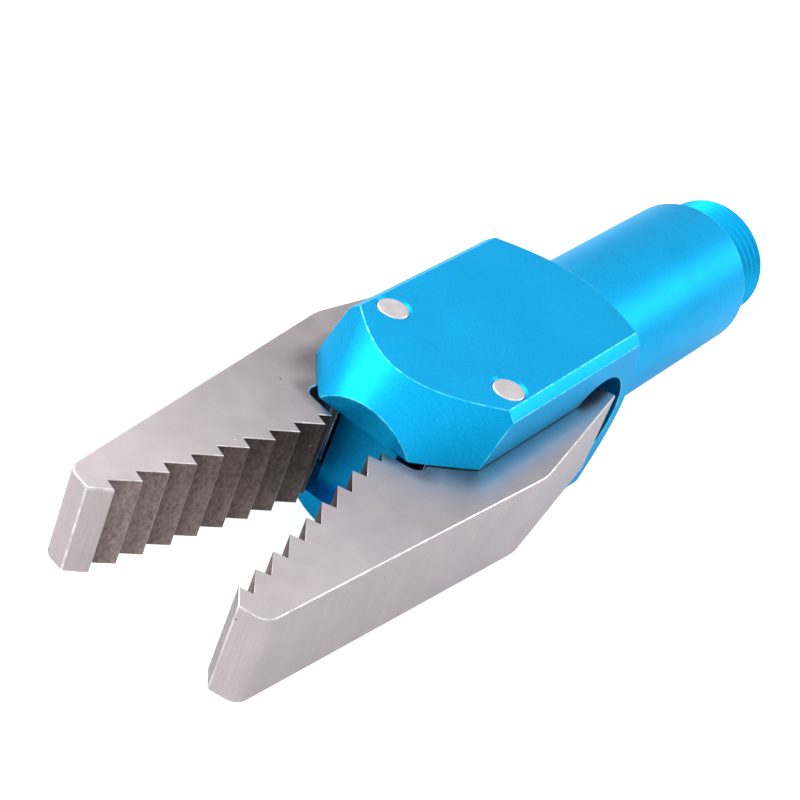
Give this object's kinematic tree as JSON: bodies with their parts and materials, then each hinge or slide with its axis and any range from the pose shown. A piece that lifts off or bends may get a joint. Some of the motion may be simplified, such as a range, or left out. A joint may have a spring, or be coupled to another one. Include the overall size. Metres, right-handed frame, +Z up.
{
  "type": "pneumatic gripper",
  "caption": "Slim angular pneumatic gripper: blue anodised slotted body on a round shank, two saw-toothed steel jaws on dowel pins, threaded rear stub with air port.",
  "frame": {"origin": "centre of the shank's rear end face, on the shank's axis", "axes": "+X along the shank towards the jaw tips, +Z up, square to the milled flats that the pivot pins pass through"},
  "size_m": [0.1208, 0.0346, 0.024],
  "materials": {
    "blue_anodised": "satin blue anodised, fine bead-blast grain on the cones",
    "jaw_steel": "satin ground, tooth flanks darker as milled",
    "pin_steel": "ground",
    "hardened_steel": "hardened and ground",
    "black_screw": "black oxide",
    "plain_steel": "zinc plated",
    "plain_aluminium": "turned",
    "bronze": "sintered bronze",
    "black_rubber": "nitrile, matt",
    "amber_polyurethane": "polyurethane",
    "ptfe": "filled PTFE",
    "spring_steel": "drawn wire"
  },
  "bodies": {
    "housing": {"body": "blue_anodised", "pivot_pin_left": "pin_steel", "pivot_pin_right": "pin_steel", "end_plug": "blue_anodised", "end_plug_o_ring": "black_rubber", "rear_bumper": "amber_polyurethane", "rod_guide_bush": "bronze", "spring_seat_washer": "plain_steel", "return_spring": "spring_steel", "jaw_spring": "spring_steel"},
    "piston_unit": {"piston": "plain_aluminium", "piston_lip_seal": "black_rubber", "piston_guide_ring": "ptfe", "piston_screw": "black_screw", "piston_screw_washer": "plain_steel", "piston_rod": "pin_steel", "spreader_wedge": "hardened_steel", "wedge_lock_pin": "pin_steel"},
    "left_jaw": {"jaw_left": "jaw_steel"},
    "right_jaw": {"jaw_right": "jaw_steel"}
  },
  "joints": [
    {"name": "piston_slide", "type": "slide", "parent": "housing", "child": "piston_unit", "axis": [1, 0, 0], "range_m": [0, 0.0048], "stiffness_N_per_m": 1200, "springref_m": -0.003, "deforming": ["return_spring"]},
    {"name": "jaw_left_hinge", "type": "hinge", "parent": "housing", "child": "left_jaw", "pos_m": [0.064, 0.0085, 0], "axis": [0, 0, -1], "range_deg": [0, 10.3], "deforming": ["jaw_spring"]},
    {"name": "jaw_right_hinge", "type": "hinge", "parent": "housing", "child": "right_jaw", "pos_m": [0.064, -0.0085, 0], "axis": [0, 0, 1], "range_deg": [0, 10.3]}
  ],
  "couplings": [
    {"joint": "jaw_left_hinge", "follows": "piston_slide", "rad_per_m": 37.45},
    {"joint": "jaw_right_hinge", "follows": "piston_slide", "rad_per_m": 37.45}
  ]
}
